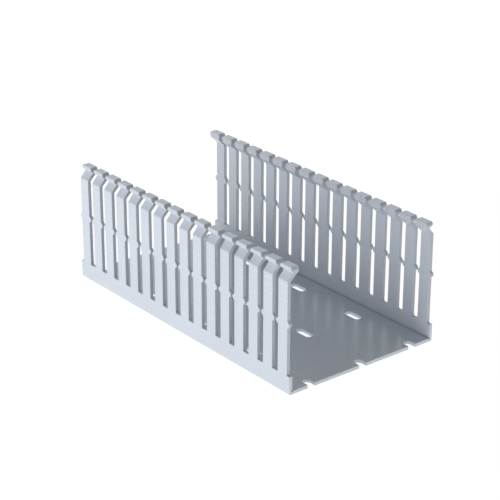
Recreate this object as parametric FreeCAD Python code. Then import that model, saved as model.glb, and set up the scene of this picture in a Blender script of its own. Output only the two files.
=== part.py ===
"""Slotted wiring duct: the open base channel, one extruded and punched piece of rigid plastic.

X runs along the duct, Y across it and Z up.
The origin is the middle of the underside.
"""
import FreeCAD, Part
import math
import os

# Driving sizes, in millimetres.
DUCT_WIDTH = 107.8          # outside of one side wall to outside of the other
DUCT_HEIGHT = 75.0          # underside to the flat tops of the fingers
SHEET = 2.2                 # thickness of the base and the side walls
FINGER_PITCH = 12.7         # one finger and one slot
FINGER_COUNT = 16           # fingers along each side wall
SLOT_WIDTH = 4.76           # slot between the straight parts of two fingers
STRIP_HEIGHT = 11.0         # unbroken strip at the foot of each wall
HEAD_HEIGHT = 8.1           # from the bend at the shoulder to the top of the finger
HEAD_DEPTH = 6.9            # wall's outside to the inner face of the head
HEAD_DROP = 0.4             # how far below the shoulder the inner face starts to lean
NOTCH_DEPTH = 3.7           # how far the cover's notch goes in from the wall's outside
NOTCH_RISE = 4.2            # height of the notch above the shoulder
LIP_SETBACK = 1.7           # how far the lip's tip stands behind the wall's outside
LIP_LEAN = 0.3              # how far the lip's edge leans back from its tip to its top
LIP_THICKNESS = 1.9         # height of the lip's edge
MOUTH_GAP = 2.9             # gap between two heads, where they are widest
FLARE_HEIGHT = 3.2          # height over which a finger widens to its head
FUNNEL_WIDTH = 4.2          # gap at the very top, where the corners are clipped
FUNNEL_DEPTH = 1.7          # how far down the clipped corners go
NIB_GAP = 1.6               # gap between the tips of two nibs
NIB_TIP_HEIGHT = 1.4        # flat tip of a nib
NIB_FOOT_HEIGHT = 4.4       # foot of a nib, against the finger's side
NIB_SHARE = 0.55            # nib's place between the strip and the shoulder
BASE_SLOT_LENGTH = 12.7     # fixing slot in the base, end to end
BASE_SLOT_WIDTH = 5.2
PITCHES_PER_ROW = 4         # fixing slots repeat every so many fingers
LANE_SHARE = 0.3534         # outer lane's distance from the middle, as a share of the width

# Small corner radii of the extruded section and of the punched outline.
FOOT_RADIUS = 0.8
BEND_RADIUS = 0.8
PUNCH_RADIUS = 0.5

# Dependent sizes.
LENGTH = FINGER_COUNT * FINGER_PITCH
HALF_LENGTH = LENGTH / 2
HALF_WIDTH = DUCT_WIDTH / 2
SHOULDER_LEVEL = DUCT_HEIGHT - HEAD_HEIGHT
NOTCH_LEVEL = SHOULDER_LEVEL + NOTCH_RISE
LIP_LEVEL = DUCT_HEIGHT - LIP_THICKNESS
INNER_BEND_LEVEL = SHOULDER_LEVEL - HEAD_DROP
INNER_NECK_LEVEL = INNER_BEND_LEVEL + HEAD_DEPTH - SHEET
MOUTH_LEVEL = DUCT_HEIGHT - FUNNEL_DEPTH
FLARE_LEVEL = MOUTH_LEVEL - FLARE_HEIGHT
NIB_LEVEL = STRIP_HEIGHT + NIB_SHARE * (SHOULDER_LEVEL - STRIP_HEIGHT)
ROW_SPACING = PITCHES_PER_ROW * FINGER_PITCH
LANE_OFFSET = LANE_SHARE * DUCT_WIDTH
CLEAR = 2.0                 # how far a cutting tool runs past the material


def corner(before, here, after, radius):
    """Return the two ends and the middle of the arc that rounds one corner of a loop."""
    back = (before - here).normalize()
    ahead = (after - here).normalize()
    half_angle = back.getAngle(ahead) / 2
    reach = radius / math.tan(half_angle)
    start = here + back * reach
    end = here + ahead * reach
    inward = (back + ahead).normalize()
    centre = here + inward * (radius / math.sin(half_angle))
    middle = centre - inward * radius
    return start, middle, end


def rounded_face(corners):
    """Make a flat face from a closed loop of (point, corner radius) pairs."""
    arcs = []
    count = len(corners)
    for index in range(count):
        before = corners[index - 1][0]
        here, radius = corners[index]
        after = corners[(index + 1) % count][0]
        if radius > 0:
            arcs.append(corner(before, here, after, radius))
        else:
            arcs.append((here, None, here))
    edges = []
    for index in range(count):
        start, middle, end = arcs[index]
        if middle is not None:
            edges.append(Part.Arc(start, middle, end).toShape())
        next_start = arcs[(index + 1) % count][0]
        edges.append(Part.makeLine(end, next_start))
    return Part.Face(Part.Wire(edges))


def mirrored_loop(half):
    """Close a half outline of (across, up, radius) by adding its mirror image."""
    other = [(-across, up, radius) for across, up, radius in reversed(half)]
    return half + other


def section():
    """The extruded section: base, two walls, leaning heads and outward lips."""
    inner_face = HALF_WIDTH - SHEET
    head_face = HALF_WIDTH - HEAD_DEPTH
    lip_tip = HALF_WIDTH - LIP_SETBACK
    half = [
        (HALF_WIDTH, 0, FOOT_RADIUS),
        (HALF_WIDTH, SHOULDER_LEVEL, BEND_RADIUS),
        (HALF_WIDTH - NOTCH_DEPTH, NOTCH_LEVEL, 0),
        (lip_tip, LIP_LEVEL, 0),
        (lip_tip - LIP_LEAN, DUCT_HEIGHT, 0),
        (head_face, DUCT_HEIGHT, 0),
        (head_face, INNER_NECK_LEVEL, 0),
        (inner_face, INNER_BEND_LEVEL, 0),
        (inner_face, SHEET, 0),
    ]
    loop = mirrored_loop(half)
    corners = [(FreeCAD.Vector(-HALF_LENGTH, y, z), radius) for y, z, radius in loop]
    return rounded_face(corners)


def finger_slot():
    """The tool that punches one slot through both walls, with room left for the nibs."""
    half_slot = SLOT_WIDTH / 2
    half_nib = NIB_GAP / 2
    half_mouth = MOUTH_GAP / 2
    half_funnel = FUNNEL_WIDTH / 2
    half = [
        (half_slot, STRIP_HEIGHT, PUNCH_RADIUS),
        (half_slot, NIB_LEVEL - NIB_FOOT_HEIGHT / 2, 0),
        (half_nib, NIB_LEVEL - NIB_TIP_HEIGHT / 2, 0),
        (half_nib, NIB_LEVEL + NIB_TIP_HEIGHT / 2, 0),
        (half_slot, NIB_LEVEL + NIB_FOOT_HEIGHT / 2, 0),
        (half_slot, FLARE_LEVEL, 0),
        (half_mouth, MOUTH_LEVEL, 0),
        (half_funnel, DUCT_HEIGHT, 0),
        (half_funnel, DUCT_HEIGHT + CLEAR, 0),
    ]
    loop = mirrored_loop(half)
    start = -HALF_WIDTH - CLEAR
    corners = [(FreeCAD.Vector(x, start, z), radius) for x, z, radius in loop]
    reach = DUCT_WIDTH + 2 * CLEAR
    return rounded_face(corners).extrude(FreeCAD.Vector(0, reach, 0))


def fixing_slot():
    """The tool that punches one round-ended fixing slot through the base."""
    radius = BASE_SLOT_WIDTH / 2
    straight = BASE_SLOT_LENGTH - BASE_SLOT_WIDTH
    height = SHEET + 2 * CLEAR
    middle = Part.makeBox(straight, BASE_SLOT_WIDTH, height, FreeCAD.Vector(-straight / 2, -radius, -CLEAR))
    ends = []
    for side in (-1, 1):
        place = FreeCAD.Vector(side * straight / 2, 0, -CLEAR)
        ends.append(Part.makeCylinder(radius, height, place))
    return middle.fuse(ends).removeSplitter()


def moved(shape, x, y):
    """A copy of a shape, moved along and across the duct."""
    copy = shape.copy()
    copy.translate(FreeCAD.Vector(x, y, 0))
    return copy


def finger_slots():
    """One slot between each two fingers, and half a slot at each sawn end."""
    tool = finger_slot()
    places = [-HALF_LENGTH + index * FINGER_PITCH for index in range(FINGER_COUNT + 1)]
    return [moved(tool, x, 0) for x in places]


def fixing_slots():
    """Three lanes of fixing slots, whose end rows are halved by the saw."""
    tool = fixing_slot()
    rows = FINGER_COUNT // PITCHES_PER_ROW
    tools = []
    for row in range(rows + 1):
        x = -HALF_LENGTH + row * ROW_SPACING
        for lane in (-1, 0, 1):
            tools.append(moved(tool, x, lane * LANE_OFFSET))
    return tools


def duct_base():
    """The whole base channel as one solid."""
    channel = section().extrude(FreeCAD.Vector(LENGTH, 0, 0))
    channel = channel.cut(finger_slots())
    channel = channel.cut(fixing_slots())
    return channel.removeSplitter()


os.makedirs("parts", exist_ok=True)
shape = duct_base()
solid = shape.Solids[0]
print("solids", len(shape.Solids), "valid", solid.isValid(), "volume", round(solid.Volume, 1))
print("box", solid.BoundBox)
solid.exportStep("parts/duct_base.step")
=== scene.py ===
# %% [markdown]
# # Slotted wiring duct
#
# The object is one length of the open plastic channel that carries cables inside an electrical cabinet.
# In the factory a die pushes soft plastic out as a long channel, a press punches the slots, and a saw
# cuts the length. It is one piece with nothing fixed to it, so this lesson makes one piece in the same
# order: draw the section and extrude it, punch the slots with tools of their own, then ease the edges.
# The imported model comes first, because its box says where everything is.

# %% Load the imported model
import bpy
import math
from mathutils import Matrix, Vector


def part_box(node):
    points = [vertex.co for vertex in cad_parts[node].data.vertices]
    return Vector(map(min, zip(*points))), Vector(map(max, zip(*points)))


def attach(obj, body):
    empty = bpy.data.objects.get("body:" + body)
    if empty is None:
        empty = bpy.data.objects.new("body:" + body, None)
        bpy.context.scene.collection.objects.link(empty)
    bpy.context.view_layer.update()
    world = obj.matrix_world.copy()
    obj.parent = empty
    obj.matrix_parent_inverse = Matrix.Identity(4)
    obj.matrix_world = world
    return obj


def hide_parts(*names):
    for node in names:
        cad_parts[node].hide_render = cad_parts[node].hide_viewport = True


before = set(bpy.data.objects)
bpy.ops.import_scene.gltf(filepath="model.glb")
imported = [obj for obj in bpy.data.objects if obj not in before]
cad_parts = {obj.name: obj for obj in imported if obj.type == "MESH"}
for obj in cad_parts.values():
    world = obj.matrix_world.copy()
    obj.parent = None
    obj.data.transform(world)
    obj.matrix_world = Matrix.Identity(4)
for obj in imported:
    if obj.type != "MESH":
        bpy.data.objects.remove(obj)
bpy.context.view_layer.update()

MM = 0.001
low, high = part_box("duct_base")
HALF_LENGTH = high[0]
HALF_WIDTH = high[1]
HEIGHT = high[2]
print("packed duct in mm:", [round((b - a) / MM, 1) for a, b in zip(low, high)])

# %% [markdown]
# ## The sizes that the box does not give
#
# The box gives the length, width and height. The rest are the sizes a duct maker would dimension on
# the section and on the punch, in millimetres, and they are the same ones that the solid was built with.
# Levels are worked out from the top down, because the head of a finger is what the cover has to fit. A
# rounding is given by how far it reaches along each side of its corner. The groove and the eased edges
# are the two exceptions: they are finer than the solid needs, so they are drawn here alone. CLEAR is how
# far a punching tool runs past the plastic.

# %% Sizes of the section and of the punches
SHEET = 2.2 * MM
PITCH = 12.7 * MM
FINGERS = round(2 * HALF_LENGTH / PITCH)
STRIP = 11.0 * MM
SHOULDER = HEIGHT - 8.1 * MM
HEAD_DEPTH = 6.9 * MM
HEAD_DROP = 0.4 * MM
NOTCH_DEPTH = 3.7 * MM
NOTCH = SHOULDER + 4.2 * MM
LIP_SETBACK = 1.7 * MM
LIP_LEAN = 0.3 * MM
LIP = HEIGHT - 1.9 * MM
HALF_SLOT = 4.76 / 2 * MM
HALF_NIB_GAP = 1.6 / 2 * MM
HALF_MOUTH = 2.9 / 2 * MM
HALF_FUNNEL = 4.2 / 2 * MM
MOUTH = HEIGHT - 1.7 * MM
FLARE = MOUTH - 3.2 * MM
NIB = STRIP + 0.55 * (SHOULDER - STRIP)
HALF_NIB_FOOT = 4.4 / 2 * MM
HALF_NIB_TIP = 1.4 / 2 * MM
GROOVE_MOUTH = 0.65 * MM
GROOVE_DEPTH = 0.65 * MM
GROOVE_SLOPE = 0.2 * MM
FIXING_LENGTH = 12.7 * MM
FIXING_WIDTH = 5.2 * MM
ROW_STEP = 4 * PITCH
LANE_STEP = 0.3534 * 2 * HALF_WIDTH
FOOT_REACH = 0.8 * MM
SHOULDER_REACH = 0.35 * MM
PUNCH_REACH = 0.5 * MM
EASED_EDGE = 0.17 * MM
CLEAR = 2 * MM
print("fingers on each side:", FINGERS, " shoulder at", round(SHOULDER / MM, 1), "mm")

# %% [markdown]
# ## Three finishes, named before the modelling
#
# The press and the saw leave other surfaces than the die does. The easiest time to tell them apart is
# while they are being made: the channel starts with the die's skin, the punching tools carry the punched
# finish, and each cut hands its tool's finish to the faces that it makes. So the three finishes are
# named now, and their nodes are filled in once the shape is done.

# %% Name the three finishes
skin = bpy.data.materials.new("duct_skin")
punched = bpy.data.materials.new("duct_punched_face")
sawn = bpy.data.materials.new("duct_sawn_face")

# %% [markdown]
# ## Drawing an outline from listed corners
#
# Both the section and the slot punch are flat outlines that get pulled into a solid. A box could be cut
# down to either, but that takes many cuts. It is quicker to draw: a tiny plane is merged to one point,
# the point is extruded from corner to corner, and the loop is filled. Half of each outline is listed and
# the other half is its mirror image, so the two sides cannot drift apart.

# %% Helpers that draw, round and pull an outline
SAME_PLACE = 0.01 * MM


def deselect():
    """Leave edit mode and select nothing, so that the next tool acts only on what it is given."""
    if bpy.context.object and bpy.context.object.mode == "EDIT":
        bpy.ops.object.mode_set(mode="OBJECT")
    bpy.ops.object.select_all(action="DESELECT")


def draw_outline(name, corners):
    """Draw a closed flat outline through these corners and fill it. The piece stays in edit mode."""
    deselect()
    bpy.ops.mesh.primitive_plane_add(size=MM, location=(0, 0, 0))
    piece = bpy.context.object
    piece.name = name
    bpy.ops.object.mode_set(mode="EDIT")
    bpy.ops.mesh.select_mode(type="VERT")
    bpy.ops.mesh.select_all(action="SELECT")
    bpy.ops.mesh.merge(type="CENTER")
    bpy.ops.mesh.select_all(action="SELECT")
    bpy.ops.transform.translate(value=corners[0])
    for here, there in zip(corners, corners[1:]):
        bpy.ops.mesh.extrude_vertices_move(TRANSFORM_OT_translate={"value": there - here})
    bpy.ops.mesh.select_all(action="SELECT")
    bpy.ops.mesh.edge_face_add()
    return piece


def select_corners(piece, places):
    """Select the corners that lie at these places."""
    bpy.ops.mesh.select_all(action="DESELECT")
    bpy.ops.object.mode_set(mode="OBJECT")
    for corner in piece.data.vertices:
        corner.select = any((corner.co - place).length < SAME_PLACE for place in places)
    bpy.ops.object.mode_set(mode="EDIT")


def round_corners(piece, places, reach, steps):
    """Turn the corners at these places into arcs that start this far along each side."""
    select_corners(piece, places)
    bpy.ops.mesh.bevel(affect="VERTICES", offset=reach, segments=steps)


def pull(distance):
    """Extrude the whole outline into a solid with its faces pointing outwards."""
    bpy.ops.mesh.select_all(action="SELECT")
    bpy.ops.mesh.extrude_region_move(TRANSFORM_OT_translate={"value": distance})
    bpy.ops.mesh.select_all(action="SELECT")
    bpy.ops.mesh.normals_make_consistent(inside=False)


# %% [markdown]
# ## The extruded section
#
# Seen from the end the duct is a U. Each wall bends inwards at a shoulder and ends in a head: outside,
# a notch and a lip hold the snap-on cover, and inside the head stands straight. The lip's edge leans back
# a little so that the cover rides over it. The foot and the shoulder are softly rounded by the die. Inside,
# a fine groove runs in the corner at the root of each wall, and it draws the thin dark line between wall
# and base.

# %% Draw the section and extrude it
def across_and_up(across, up):
    """A point of the section at the back end of the duct."""
    return Vector((-HALF_LENGTH, across, up))


right_half = [
    (HALF_WIDTH, 0),
    (HALF_WIDTH, SHOULDER),
    (HALF_WIDTH - NOTCH_DEPTH, NOTCH),
    (HALF_WIDTH - LIP_SETBACK, LIP),
    (HALF_WIDTH - LIP_SETBACK - LIP_LEAN, HEIGHT),
    (HALF_WIDTH - HEAD_DEPTH, HEIGHT),
    (HALF_WIDTH - HEAD_DEPTH, SHOULDER - HEAD_DROP + HEAD_DEPTH - SHEET),
    (HALF_WIDTH - SHEET, SHOULDER - HEAD_DROP),
    (HALF_WIDTH - SHEET, SHEET + GROOVE_MOUTH),
    (HALF_WIDTH - SHEET + GROOVE_DEPTH, SHEET + GROOVE_MOUTH - GROOVE_SLOPE),
    (HALF_WIDTH - SHEET + GROOVE_DEPTH, SHEET - GROOVE_DEPTH),
    (HALF_WIDTH - SHEET - GROOVE_MOUTH + GROOVE_SLOPE, SHEET - GROOVE_DEPTH),
    (HALF_WIDTH - SHEET - GROOVE_MOUTH, SHEET),
]
section = [across_and_up(y, z) for y, z in right_half]
section += [across_and_up(-y, z) for y, z in reversed(right_half)]

duct = draw_outline("duct_channel", section)
feet = [across_and_up(side * HALF_WIDTH, 0) for side in (-1, 1)]
shoulders = [across_and_up(side * HALF_WIDTH, SHOULDER) for side in (-1, 1)]
round_corners(duct, feet, FOOT_REACH, 5)
round_corners(duct, shoulders, SHOULDER_REACH, 3)
pull((2 * HALF_LENGTH, 0, 0))
deselect()
duct.data.materials.append(skin)
duct.data.materials.append(sawn)
for face in duct.data.polygons:
    face.material_index = 1 if abs(face.normal.x) > 0.9 else 0
print("channel before punching:", len(duct.data.polygons), "faces")

# %% [markdown]
# ## The finger punch
#
# One tool punches a slot through both walls at once. Its outline is the gap between two fingers: square
# with eased corners at the bottom, pinched by a pair of pointed nibs about halfway up, narrowing where
# the heads flare out, and opening again in a small funnel at the top, which lets a wire in. The nibs
# keep wires from rising out of the slots. One tool is drawn and then copied along the duct. The first
# and last copies stand on the saw cuts, so the end fingers have half a slot beside them.

# %% Draw one finger punch and step it along the duct
def along_and_up(along, up):
    """A point of the punch outline, in front of the near wall."""
    return Vector((along - HALF_LENGTH, -HALF_WIDTH - CLEAR, up))


right_edge = [
    (HALF_SLOT, STRIP),
    (HALF_SLOT, NIB - HALF_NIB_FOOT),
    (HALF_NIB_GAP, NIB - HALF_NIB_TIP),
    (HALF_NIB_GAP, NIB + HALF_NIB_TIP),
    (HALF_SLOT, NIB + HALF_NIB_FOOT),
    (HALF_SLOT, FLARE),
    (HALF_MOUTH, MOUTH),
    (HALF_FUNNEL, HEIGHT),
    (HALF_FUNNEL, HEIGHT + CLEAR),
]
gap = [along_and_up(x, z) for x, z in right_edge]
gap += [along_and_up(-x, z) for x, z in reversed(right_edge)]


def step_copies(count, step):
    """Copy the selection again and again, each copy one step further on."""
    for _ in range(count - 1):
        bpy.ops.mesh.duplicate_move(TRANSFORM_OT_translate={"value": step})


punch = draw_outline("finger_punch", gap)
bottom = [along_and_up(side * HALF_SLOT, STRIP) for side in (-1, 1)]
round_corners(punch, bottom, PUNCH_REACH, 3)
pull((0, 2 * (HALF_WIDTH + CLEAR), 0))
step_copies(FINGERS + 1, (PITCH, 0, 0))
deselect()
punch.data.materials.append(punched)
print("finger punches:", FINGERS + 1)

# %% [markdown]
# ## The fixing punch
#
# Screws hold the base through long holes in three lanes, one row to every four fingers. A round-ended
# hole is a block whose four upright edges are rounded by half its width, less a trace, so that no two
# roundings meet in a doubled corner. One block is copied across into a row of three, one to each lane,
# and the row is copied along into five. The end rows stand on the saw cuts too, which leaves the open
# half holes at each end.

# %% Shape one fixing punch and step it over the base
deselect()
bpy.ops.mesh.primitive_cube_add(size=1, location=(-HALF_LENGTH, -LANE_STEP, SHEET / 2))
fixing = bpy.context.object
fixing.name = "fixing_punch"
fixing.scale = (FIXING_LENGTH, FIXING_WIDTH, SHEET + 2 * CLEAR)
ROUND_END = 0.999 * FIXING_WIDTH / 2
bpy.ops.object.transform_apply(location=True, rotation=False, scale=True)
bpy.ops.object.mode_set(mode="EDIT")
bpy.ops.mesh.select_mode(type="EDGE")
bpy.ops.mesh.select_all(action="DESELECT")
bpy.ops.object.mode_set(mode="OBJECT")
for edge in fixing.data.edges:
    ends = [fixing.data.vertices[index].co for index in edge.vertices]
    edge.select = abs(ends[0].z - ends[1].z) > SHEET
bpy.ops.object.mode_set(mode="EDIT")
bpy.ops.mesh.bevel(affect="EDGES", offset=ROUND_END, segments=10)
bpy.ops.mesh.select_all(action="SELECT")
step_copies(3, (0, LANE_STEP, 0))
bpy.ops.mesh.select_all(action="SELECT")
rows = round(2 * HALF_LENGTH / ROW_STEP) + 1
step_copies(rows, (ROW_STEP, 0, 0))
deselect()
fixing.data.materials.append(punched)
print("fixing punches:", 3 * rows)

# %% [markdown]
# ## Punching
#
# A Boolean modifier set to Difference does what the press does. The exact solver is used because many
# tool faces meet the walls at right angles along their whole length. Each modifier is applied at once
# and its tool is thrown away.

# %% Punch the slots and the fixing holes
def make_active(piece):
    """Select this piece alone and make it the one that the tools work on."""
    deselect()
    piece.select_set(True)
    bpy.context.view_layer.objects.active = piece


def punch_out(piece, tool):
    """Take the tool's shape out of the piece and remove the tool."""
    make_active(piece)
    cut = piece.modifiers.new("punch", "BOOLEAN")
    cut.operation = "DIFFERENCE"
    cut.solver = "EXACT"
    cut.material_mode = "TRANSFER"
    cut.object = tool
    bpy.ops.object.modifier_apply(modifier=cut.name)
    bpy.data.objects.remove(tool, do_unlink=True)


punch_out(duct, punch)
punch_out(duct, fixing)
print("after punching:", len(duct.data.polygons), "faces")

# %% [markdown]
# ## Easing the edges
#
# No edge of a plastic extrusion is a knife edge, and the thin bright line that a rounded edge catches is
# what makes it look real. A Bevel modifier limited by angle rounds every true edge by less than a fifth
# of a millimetre and leaves the flat faces alone. A Weighted Normal modifier then keeps the large faces
# flat, so that only the rounding looks round.

# %% Round every edge a little
def apply_modifier(piece, modifier):
    """Make one modifier part of the mesh."""
    make_active(piece)
    bpy.ops.object.modifier_apply(modifier=modifier.name)


SMOOTH_BELOW = math.radians(35)
EASE_ABOVE = math.radians(30)
make_active(duct)
bpy.ops.object.shade_smooth_by_angle(angle=SMOOTH_BELOW)
ease = duct.modifiers.new("eased edges", "BEVEL")
ease.width = EASED_EDGE
ease.segments = 2
ease.limit_method = "ANGLE"
ease.angle_limit = EASE_ABOVE
ease.use_clamp_overlap = False
apply_modifier(duct, ease)
flat = duct.modifiers.new("flat faces", "WEIGHTED_NORMAL")
flat.keep_sharp = True
flat.weight = 100
apply_modifier(duct, flat)
print("with eased edges:", len(duct.data.polygons), "faces")

# %% [markdown]
# ## The look of the plastic
#
# The duct is rigid plastic coloured all the way through, a light grey with a touch of blue. A single
# grey would look like a toy, because three tools have left three surfaces on it. The die leaves a satin
# skin with very fine lines along the duct, and they draw each highlight out into soft streaks. The punch
# drags short streaks across the thickness of the sheet and leaves a duller face. Its colour is also set
# darker than the skin, and that is painted shade: it stands for the shade inside the slots and holes. The
# saw leaves fine curved scratches and a paler face on the ends. All three are made from noise and rings
# on object coordinates, so they stay put when the part turns.

# %% Helpers for the material nodes
def nodes_of(material):
    """Switch nodes on and give the tree, its shader and the object coordinates."""
    material.use_nodes = True
    tree = material.node_tree
    shader = tree.nodes["Principled BSDF"]
    place = tree.nodes.new("ShaderNodeTexCoord").outputs["Object"]
    return tree, shader, place


def stretched_noise(tree, place, scale, detail=2.0):
    """Noise whose grain is set along each axis, in features to the metre."""
    mapping = tree.nodes.new("ShaderNodeMapping")
    mapping.inputs["Scale"].default_value = scale
    tree.links.new(place, mapping.inputs["Vector"])
    noise = tree.nodes.new("ShaderNodeTexNoise")
    noise.inputs["Scale"].default_value = 1.0
    noise.inputs["Detail"].default_value = detail
    tree.links.new(mapping.outputs["Vector"], noise.inputs["Vector"])
    return noise.outputs["Fac"]


def spread(tree, value, low_value, high_value):
    """Map the middle of a noise onto a range."""
    fit = tree.nodes.new("ShaderNodeMapRange")
    fit.inputs["From Min"].default_value = 0.3
    fit.inputs["From Max"].default_value = 0.7
    fit.inputs["To Min"].default_value = low_value
    fit.inputs["To Max"].default_value = high_value
    tree.links.new(value, fit.inputs["Value"])
    return fit.outputs["Result"]


def mix_colours(tree, amount, first, second):
    """Blend two colours, each a colour or the output of another node."""
    mix = tree.nodes.new("ShaderNodeMix")
    mix.data_type = "RGBA"
    tree.links.new(amount, mix.inputs["Factor"])
    for socket, colour in ((mix.inputs["A"], first), (mix.inputs["B"], second)):
        if isinstance(colour, tuple):
            socket.default_value = colour
        else:
            tree.links.new(colour, socket)
    return mix.outputs["Result"]


def bump(tree, height, distance, below=None):
    """Raise the surface by a noise, on top of a bump that is already there."""
    node = tree.nodes.new("ShaderNodeBump")
    node.inputs["Strength"].default_value = 1.0
    node.inputs["Distance"].default_value = distance
    tree.links.new(height, node.inputs["Height"])
    if below is not None:
        tree.links.new(below, node.inputs["Normal"])
    return node.outputs["Normal"]


# %% Die skin: satin, with fine lines along the duct
tree, shader, place = nodes_of(skin)
clouds = stretched_noise(tree, place, (18, 30, 30))
lines = stretched_noise(tree, place, (4, 1100, 1100), detail=3.0)
grain = stretched_noise(tree, place, (2600, 2600, 2600), detail=1.0)
pale = (0.495, 0.539, 0.600, 1)
plain = (0.468, 0.511, 0.573, 1)
dull = (0.455, 0.497, 0.557, 1)
colour = mix_colours(tree, spread(tree, clouds, 0, 1), plain, pale)
colour = mix_colours(tree, spread(tree, lines, 0.25, 0), colour, dull)
tree.links.new(colour, shader.inputs["Base Color"])
tree.links.new(spread(tree, lines, 0.21, 0.28), shader.inputs["Roughness"])
normal = bump(tree, lines, 0.006 * MM)
normal = bump(tree, grain, 0.003 * MM, below=normal)
tree.links.new(normal, shader.inputs["Normal"])
print("skin:", len(tree.nodes), "nodes")

# %% Punched faces: short streaks across the sheet
tree, shader, place = nodes_of(punched)
streaks = stretched_noise(tree, place, (900, 90, 900), detail=3.0)
grit = stretched_noise(tree, place, (1800, 1800, 1800))
# Both streak colours sit below the skin's grey, and that lower level is painted shade for the slots and
# holes.
dark_streak_with_painted_shade = (0.382, 0.418, 0.468, 1)
light_streak_with_painted_shade = (0.424, 0.462, 0.512, 1)
colour = mix_colours(tree, spread(tree, streaks, 0, 1), dark_streak_with_painted_shade, light_streak_with_painted_shade)
tree.links.new(colour, shader.inputs["Base Color"])
tree.links.new(spread(tree, grit, 0.42, 0.6), shader.inputs["Roughness"])
normal = bump(tree, streaks, 0.015 * MM)
normal = bump(tree, grit, 0.01 * MM, below=normal)
tree.links.new(normal, shader.inputs["Normal"])
print("punched:", len(tree.nodes), "nodes")

# %% Sawn ends: fine scratches from a large round blade
tree, shader, place = nodes_of(sawn)
BLADE_OFFSET = (0, -0.10, 0.16)
SCRATCHES = 420
from_blade = tree.nodes.new("ShaderNodeMapping")
from_blade.inputs["Location"].default_value = BLADE_OFFSET
tree.links.new(place, from_blade.inputs["Vector"])
marks = tree.nodes.new("ShaderNodeTexWave")
marks.wave_type = "RINGS"
marks.rings_direction = "X"
marks.inputs["Scale"].default_value = SCRATCHES
marks.inputs["Distortion"].default_value = 1.5
marks.inputs["Detail"].default_value = 2
tree.links.new(from_blade.outputs["Vector"], marks.inputs["Vector"])
grit = stretched_noise(tree, place, (1800, 1800, 1800))
fresh = (0.480, 0.524, 0.585, 1)
dusty = (0.533, 0.577, 0.636, 1)
colour = mix_colours(tree, spread(tree, grit, 0, 1), fresh, dusty)
tree.links.new(colour, shader.inputs["Base Color"])
tree.links.new(spread(tree, grit, 0.45, 0.62), shader.inputs["Roughness"])
normal = bump(tree, marks.outputs["Fac"], 0.012 * MM)
normal = bump(tree, grit, 0.008 * MM, below=normal)
tree.links.new(normal, shader.inputs["Normal"])
print("sawn:", len(tree.nodes), "nodes")

# %% [markdown]
# ## Handing the piece to the frame
#
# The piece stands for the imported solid, so that one is hidden and only its collision stays in use. The
# duct has no moving part, so it rides on the root body.

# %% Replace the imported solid
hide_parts("duct_base")
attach(duct, "root")

# %% [markdown]
# ## The camera
#
# A picture for a parts list is taken with a long lens from a good way off, so that the walls stay nearly
# parallel and the pitch of the fingers can be compared from one end to the other. The camera stands about
# a metre away, beside the near sawn end and a little above, and looks down into the duct.

# %% Place the camera
eye = bpy.data.cameras.new("eye")
camera = bpy.data.objects.new("eye", eye)
bpy.context.scene.collection.objects.link(camera)
bpy.context.scene.camera = camera
camera.location = (0.72196, -0.57986, 0.43816)
camera.rotation_euler = (math.radians(66.607), math.radians(-0.119), math.radians(51.282))
eye.sensor_width = 36
eye.lens = 121.57
eye.clip_start = 0.05
eye.clip_end = 20
print("camera to duct:", round(camera.location.length, 2), "m")

# %% [markdown]
# ## The light table
#
# The duct stands on a white glowing table, as small goods do in a studio. The glow fills the undersides
# of the heads and the sawn ends, so no part of the duct goes dark. Making the picture's background white
# is another job. If lamps had to do it they would bleach the duct too, so the Light Path node tells the
# rays apart: stray light gets the glow, and a ray that a viewer or a shiny surface looks along gets a
# steady white. That white is a touch below full strength near the duct, and a little matt white is mixed
# in, so the duct keeps a faint shadow on the table. It rises to full strength further out, so no edge
# shows between the table and the room. From below the table is clear, so that the underside of the duct
# can be looked at. The duct almost touches the table. Aiming light samples at so near a surface goes
# wrong and draws a line across the underside, so the table's light is left to the rays that hit it.

# %% Helpers that tell rays apart
def looked_along(tree):
    """One for a ray that a viewer, a gloss or a clear pane looks along, and nought for stray light."""
    path = tree.nodes.new("ShaderNodeLightPath")
    looked = path.outputs["Is Camera Ray"]
    for kind in ("Is Glossy Ray", "Is Transmission Ray"):
        either = tree.nodes.new("ShaderNodeMath")
        either.operation = "MAXIMUM"
        tree.links.new(looked, either.inputs[0])
        tree.links.new(path.outputs[kind], either.inputs[1])
        looked = either.outputs["Value"]
    return looked


def choose(tree, amount, first, second):
    """The first shader where the amount is nought, and the second where it is one."""
    mix = tree.nodes.new("ShaderNodeMixShader")
    tree.links.new(amount, mix.inputs[0])
    tree.links.new(first, mix.inputs[1])
    tree.links.new(second, mix.inputs[2])
    return mix.outputs["Shader"]


def matt_and_bright(tree, matt, strength):
    """A matt white surface that also sends out white light, of a fixed or a worked-out strength."""
    surface = tree.nodes.new("ShaderNodeBsdfDiffuse")
    surface.inputs["Color"].default_value = (matt, matt, matt, 1)
    light = tree.nodes.new("ShaderNodeEmission")
    if isinstance(strength, float):
        light.inputs["Strength"].default_value = strength
    else:
        tree.links.new(strength, light.inputs["Strength"])
    both = tree.nodes.new("ShaderNodeAddShader")
    tree.links.new(surface.outputs["BSDF"], both.inputs[0])
    tree.links.new(light.outputs["Emission"], both.inputs[1])
    return both.outputs["Shader"]


# %% Lay the light table under the duct
TABLE_SIZE = 6
TABLE_GAP = 0.02 * MM
deselect()
bpy.ops.mesh.primitive_plane_add(size=TABLE_SIZE, location=(0, 0, -TABLE_GAP))
table = bpy.context.object
table.name = "light_table"
print("light table:", TABLE_SIZE, "m square")

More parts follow.
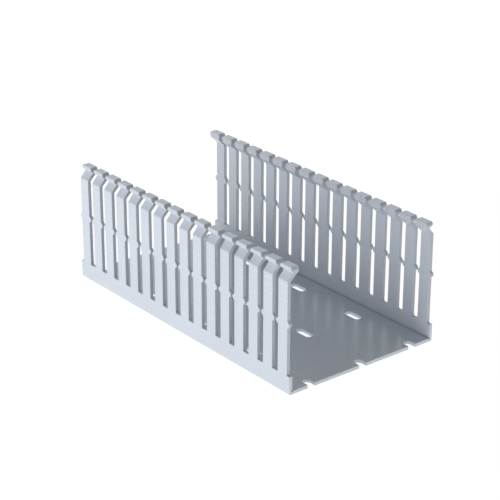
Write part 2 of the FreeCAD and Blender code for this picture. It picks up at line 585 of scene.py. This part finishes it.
# %% Give the table its glow and its steady white
TABLE_MATT = 0.20
TABLE_GLOW = 1.46
WHITE_NEAR, NEAR = 0.93, 0.25
WHITE_FAR, FAR = 1.0, 0.80
glass = bpy.data.materials.new("light_table")
table.data.materials.append(glass)
glass.cycles.emission_sampling = "NONE"
glass.use_nodes = True
tree = glass.node_tree
tree.nodes.clear()
centre = tree.nodes.new("ShaderNodeTexCoord").outputs["Object"]
away = tree.nodes.new("ShaderNodeVectorMath")
away.operation = "LENGTH"
tree.links.new(centre, away.inputs[0])
fade = tree.nodes.new("ShaderNodeMapRange")
fade.inputs["From Min"].default_value = NEAR
fade.inputs["From Max"].default_value = FAR
fade.inputs["To Min"].default_value = WHITE_NEAR
fade.inputs["To Max"].default_value = WHITE_FAR
tree.links.new(away.outputs["Value"], fade.inputs["Value"])
glow = matt_and_bright(tree, TABLE_MATT, TABLE_GLOW)
steady = matt_and_bright(tree, TABLE_MATT, fade.outputs["Result"])
from_above = choose(tree, looked_along(tree), glow, steady)
clear = tree.nodes.new("ShaderNodeBsdfTransparent").outputs["BSDF"]
below = tree.nodes.new("ShaderNodeNewGeometry").outputs["Backfacing"]
surface = tree.nodes.new("ShaderNodeOutputMaterial").inputs["Surface"]
tree.links.new(choose(tree, below, from_above, clear), surface)
print("light table:", len(tree.nodes), "nodes")

# %% [markdown]
# ## The room and the soft boxes
#
# The room looks white to rays that look along it, and sends only a little even light, which keeps the
# inside of the duct readable. The shaping comes from soft boxes, which are area lamps. Three stand in
# front of the near wall, one above another, and make it the brightest face above the table. A weaker one
# behind the far wall sends light through its slots, and one at the back corner keeps the far end
# readable. None stands at the near end or overhead, so the inside of the duct and the flat tops of the
# heads stay a step darker than the outside. A lamp's power is worked out from its brightness and its
# area, so that a box can be made larger or smaller without changing how bright it looks.

# %% A white room that sends a little even light
scene = bpy.context.scene
scene.view_settings.view_transform = "Standard"
room = bpy.data.worlds.new("room")
scene.world = room
room.use_nodes = True
tree = room.node_tree
tree.nodes.clear()
ROOM_LIGHT = 0.27
ROOM_WHITE = 1.0
stray, seen = [tree.nodes.new("ShaderNodeBackground") for _ in range(2)]
for background, strength in ((stray, ROOM_LIGHT), (seen, ROOM_WHITE)):
    background.inputs["Color"].default_value = (1, 1, 1, 1)
    background.inputs["Strength"].default_value = strength
surface = tree.nodes.new("ShaderNodeOutputWorld").inputs["Surface"]
amount = looked_along(tree)
tree.links.new(choose(tree, amount, stray.outputs["Background"], seen.outputs["Background"]), surface)
print("room:", len(tree.nodes), "nodes")


# %% Hang the soft boxes
def soft_box(name, compass, climb, distance, wide, tall, brightness):
    """An area lamp at this compass angle and climb, in degrees, that faces the duct from a distance."""
    turn, lift = math.radians(compass), math.radians(climb)
    towards = Vector((math.cos(turn) * math.cos(lift), math.sin(turn) * math.cos(lift), math.sin(lift)))
    lamp = bpy.data.lights.new(name, "AREA")
    lamp.shape = "RECTANGLE"
    lamp.size = wide
    lamp.size_y = tall
    lamp.energy = math.pi * wide * tall * brightness
    box = bpy.data.objects.new(name, lamp)
    scene.collection.objects.link(box)
    box.location = towards * distance
    box.rotation_euler = towards.to_track_quat("Z", "Y").to_euler()
    box.visible_camera = False


soft_box("front_low", compass=-100, climb=7, distance=1.0, wide=0.8, tall=0.24, brightness=2.3)
soft_box("front_middle", compass=-100, climb=25, distance=1.1, wide=0.8, tall=0.42, brightness=3.5)
soft_box("front_high", compass=-100, climb=50, distance=1.3, wide=0.8, tall=0.8, brightness=0.3)
soft_box("back_corner", compass=135, climb=25, distance=1.1, wide=0.8, tall=0.42, brightness=0.6)
soft_box("back_middle", compass=90, climb=20, distance=1.1, wide=0.8, tall=0.60, brightness=1.8)
